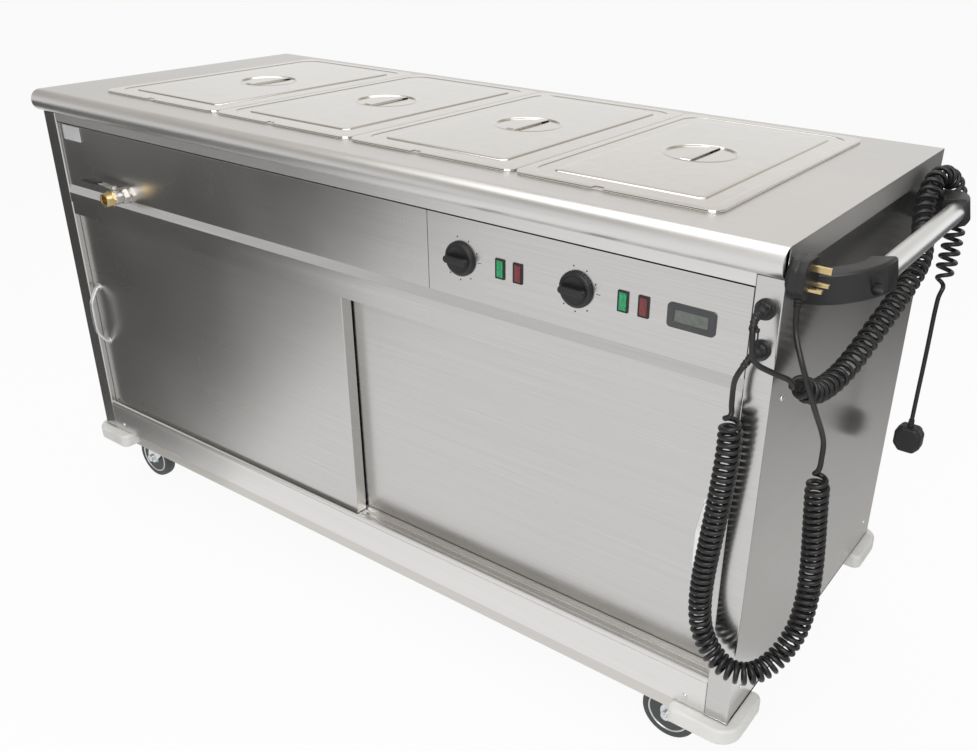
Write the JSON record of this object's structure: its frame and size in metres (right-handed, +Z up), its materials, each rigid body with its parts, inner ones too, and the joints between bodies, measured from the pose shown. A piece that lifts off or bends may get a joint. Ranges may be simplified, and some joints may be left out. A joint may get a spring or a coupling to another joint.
{
  "type": "mobile hot cupboard",
  "caption": "Mobile stainless hot cupboard with a heated well of lidded food pans, sliding doors, castors, push handle and curly mains leads.",
  "frame": {"origin": "on the floor, under the middle of the rigid outline's bounding box, leads and plugs left out", "axes": "+X to the push handle end, along the front; +Y from the front to the back; +Z up"},
  "size_m": [1.643, 0.6763, 0.9084],
  "materials": {
    "brushed_stainless": "satin, brushed along the length",
    "polished_stainless": "bright pressed stainless",
    "zinc_plate": "zinc plated",
    "grey_tyre": "grey rubber",
    "white_plastic": "off-white moulded",
    "black_plastic": "black moulded",
    "grey_plastic": "dark grey moulded",
    "black_rubber": "black sheath",
    "white_tube": "pale satin",
    "brass": "bare brass",
    "chrome": "nickel plated",
    "green_lens": "translucent green",
    "red_lens": "translucent red",
    "display_glass": "grey-green display",
    "element_sheath": "dull heated sheath"
  },
  "bodies": {
    "cabinet": {"worktop": "brushed_stainless", "well_tank": "brushed_stainless", "pan_rest_bars": "polished_stainless", "left_side_panel": "brushed_stainless", "right_side_panel": "brushed_stainless", "back_panel": "brushed_stainless", "cabinet_floor": "brushed_stainless", "fascia_panel": "brushed_stainless", "control_panel": "brushed_stainless", "door_head": "brushed_stainless", "bottom_rail": "brushed_stainless", "middle_shelf": "brushed_stainless", "chassis_frame": "brushed_stainless", "heating_elements": "element_sheath", "thermostats": "black_plastic", "lamp_bezels": "black_plastic", "green_lenses": "green_lens", "red_lenses": "red_lens", "display_bezel": "grey_plastic", "display_window": "display_glass", "drain_valve": "chrome", "drain_outlet": "brass", "handle_brackets": "black_plastic", "handle_tube": "white_tube", "corner_buffers": "white_plastic", "castor_plates": "zinc_plate", "cable_glands": "black_plastic", "lead_a_start": "black_rubber", "coil_a": "black_rubber", "lead_a_end": "black_rubber", "plug_a": "black_plastic", "plug_a_pins": "brass", "lead_b_start": "black_rubber", "coil_b": "black_rubber", "lead_b_end": "black_rubber", "plug_b": "black_plastic", "plug_b_pins": "brass"},
    "left_sliding_door": {"left_door": "brushed_stainless", "left_door_handle": "brushed_stainless"},
    "right_sliding_door": {"right_door": "brushed_stainless", "right_door_handle": "brushed_stainless"},
    "pan_unit_1": {"pan_1": "polished_stainless"},
    "lid_unit_1": {"lid_1": "polished_stainless"},
    "pan_unit_2": {"pan_2": "polished_stainless"},
    "lid_unit_2": {"lid_2": "polished_stainless"},
    "pan_unit_3": {"pan_3": "polished_stainless"},
    "lid_unit_3": {"lid_3": "polished_stainless"},
    "pan_unit_4": {"pan_4": "polished_stainless"},
    "lid_unit_4": {"lid_4": "polished_stainless"},
    "left_dial": {"knob_left": "black_plastic"},
    "right_dial": {"knob_right": "black_plastic"},
    "drain_handle": {"drain_lever": "black_plastic"},
    "swivel_front_left": {"castor_fork_front_left": "zinc_plate"},
    "roller_front_left": {"castor_wheel_front_left": "grey_tyre"},
    "swivel_front_right": {"castor_fork_front_right": "zinc_plate"},
    "roller_front_right": {"castor_wheel_front_right": "grey_tyre"},
    "swivel_back_left": {"castor_fork_back_left": "zinc_plate"},
    "roller_back_left": {"castor_wheel_back_left": "grey_tyre"},
    "swivel_back_right": {"castor_fork_back_right": "zinc_plate"},
    "roller_back_right": {"castor_wheel_back_right": "grey_tyre"}
  },
  "joints": [
    {"name": "left_door_slide", "type": "slide", "parent": "cabinet", "child": "left_sliding_door", "axis": [1, 0, 0], "range_m": [0, 0.65]},
    {"name": "right_door_slide", "type": "slide", "parent": "cabinet", "child": "right_sliding_door", "axis": [1, 0, 0], "range_m": [-0.65, 0]},
    {"name": "pan_1_lift", "type": "slide", "parent": "cabinet", "child": "pan_unit_1", "axis": [0, 0, 1], "range_m": [0, 0.2]},
    {"name": "lid_1_lift", "type": "slide", "parent": "pan_unit_1", "child": "lid_unit_1", "axis": [0, 0, 1], "range_m": [0, 0.15]},
    {"name": "pan_2_lift", "type": "slide", "parent": "cabinet", "child": "pan_unit_2", "axis": [0, 0, 1], "range_m": [0, 0.2]},
    {"name": "lid_2_lift", "type": "slide", "parent": "pan_unit_2", "child": "lid_unit_2", "axis": [0, 0, 1], "range_m": [0, 0.15]},
    {"name": "pan_3_lift", "type": "slide", "parent": "cabinet", "child": "pan_unit_3", "axis": [0, 0, 1], "range_m": [0, 0.2]},
    {"name": "lid_3_lift", "type": "slide", "parent": "pan_unit_3", "child": "lid_unit_3", "axis": [0, 0, 1], "range_m": [0, 0.15]},
    {"name": "pan_4_lift", "type": "slide", "parent": "cabinet", "child": "pan_unit_4", "axis": [0, 0, 1], "range_m": [0, 0.2]},
    {"name": "lid_4_lift", "type": "slide", "parent": "pan_unit_4", "child": "lid_unit_4", "axis": [0, 0, 1], "range_m": [0, 0.15]},
    {"name": "knob_left_turn", "type": "hinge", "parent": "cabinet", "child": "left_dial", "pos_m": [0.2445, -0.295, 0.779], "axis": [0, 1, 0], "range_deg": [0, 270]},
    {"name": "knob_right_turn", "type": "hinge", "parent": "cabinet", "child": "right_dial", "pos_m": [0.4455, -0.295, 0.779], "axis": [0, 1, 0], "range_deg": [0, 270]},
    {"name": "drain_lever_turn", "type": "hinge", "parent": "cabinet", "child": "drain_handle", "pos_m": [-0.5745, -0.313, 0.7465], "axis": [0, 0, 1], "range_deg": [0, 90]},
    {"name": "swivel_front_left_turn", "type": "hinge", "parent": "cabinet", "child": "swivel_front_left", "pos_m": [-0.7215, -0.2035, 0.118], "axis": [0, 0, 1], "continuous": true},
    {"name": "wheel_front_left_spin", "type": "hinge", "parent": "swivel_front_left", "child": "roller_front_left", "pos_m": [-0.7715, -0.2035, 0.05], "axis": [0, 1, 0], "continuous": true},
    {"name": "swivel_front_right_turn", "type": "hinge", "parent": "cabinet", "child": "swivel_front_right", "pos_m": [0.6545, -0.2035, 0.118], "axis": [0, 0, 1], "continuous": true},
    {"name": "wheel_front_right_spin", "type": "hinge", "parent": "swivel_front_right", "child": "roller_front_right", "pos_m": [0.6045, -0.2035, 0.05], "axis": [0, 1, 0], "continuous": true},
    {"name": "swivel_back_left_turn", "type": "hinge", "parent": "cabinet", "child": "swivel_back_left", "pos_m": [-0.7215, 0.2285, 0.118], "axis": [0, 0, 1], "continuous": true},
    {"name": "wheel_back_left_spin", "type": "hinge", "parent": "swivel_back_left", "child": "roller_back_left", "pos_m": [-0.7715, 0.2285, 0.05], "axis": [0, 1, 0], "continuous": true},
    {"name": "swivel_back_right_turn", "type": "hinge", "parent": "cabinet", "child": "swivel_back_right", "pos_m": [0.6545, 0.2285, 0.118], "axis": [0, 0, 1], "continuous": true},
    {"name": "wheel_back_right_spin", "type": "hinge", "parent": "swivel_back_right", "child": "roller_back_right", "pos_m": [0.6045, 0.2285, 0.05], "axis": [0, 1, 0], "continuous": true}
  ]
}
